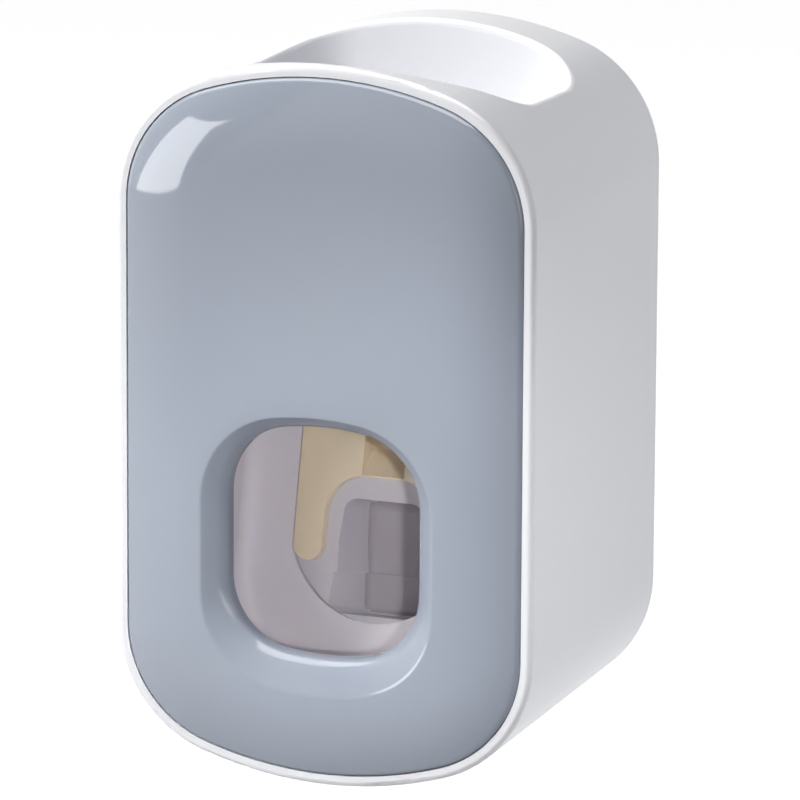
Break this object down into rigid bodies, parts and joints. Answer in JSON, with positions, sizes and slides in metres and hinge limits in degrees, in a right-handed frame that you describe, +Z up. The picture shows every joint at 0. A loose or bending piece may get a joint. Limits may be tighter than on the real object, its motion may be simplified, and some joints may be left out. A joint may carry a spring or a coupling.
{
  "type": "toothpaste dispenser",
  "caption": "Wall-hung toothpaste dispenser: arched box with a tube opening on top, a glossy front panel with a window and a push lever that works a small pump.",
  "frame": {"origin": "centre of the adhesive pad's face on the wall, at half the housing's height", "axes": "+X to the right seen from the front, +Y into the wall, +Z up; the front panel faces -Y"},
  "size_m": [0.0872, 0.0778, 0.143],
  "materials": {
    "shell_white": "soft gloss",
    "panel_grey": "high gloss",
    "smoke_plastic": "gloss, slightly translucent",
    "lever_cream": "satin",
    "inner_white": "matte",
    "bracket_white": "matte",
    "adhesive_foam": "matte",
    "soft_seal": "matte",
    "steel": "satin"
  },
  "bodies": {
    "wall_mount": {"adhesive_pad": "adhesive_foam", "wall_bracket": "bracket_white"},
    "housing": {"outer_shell": "shell_white", "front_panel": "panel_grey", "window_liner": "smoke_plastic", "rear_cover": "inner_white", "rear_cover_screws": "steel", "inner_frame": "inner_white", "frame_screws": "steel", "pump_body": "inner_white", "pump_screws": "steel", "diaphragm_ring": "inner_white", "diaphragm": "soft_seal", "return_spring": "steel", "outlet_nozzle": "soft_seal", "nozzle_collar": "inner_white", "tube_socket": "inner_white", "tube_seal": "soft_seal", "socket_screws": "steel", "inlet_valve": "soft_seal", "valve_seat": "inner_white", "tube_chute": "shell_white", "lever_pin": "steel", "pin_clip": "steel"},
    "lever": {"push_lever": "lever_cream", "brush_paddle": "smoke_plastic", "paddle_screws": "steel"},
    "plunger": {"plunger": "inner_white"}
  },
  "joints": [
    {"name": "lift_off", "type": "slide", "parent": "wall_mount", "child": "housing", "axis": [0, 0, 1], "range_m": [0, 0.0061]},
    {"name": "lever_push", "type": "hinge", "parent": "housing", "child": "lever", "pos_m": [0, -0.0355, -0.001], "axis": [1, 0, 0], "range_deg": [0, 14], "stiffness_Nm_per_rad": 0.33, "springref_deg": -14.32},
    {"name": "plunger_stroke", "type": "slide", "parent": "housing", "child": "plunger", "axis": [0, 0, 1], "range_m": [0, 0.0027], "deforming": ["return_spring", "diaphragm"]}
  ],
  "couplings": [
    {"joint": "plunger_stroke", "follows": "lever_push", "m_per_rad": 0.0105}
  ]
}
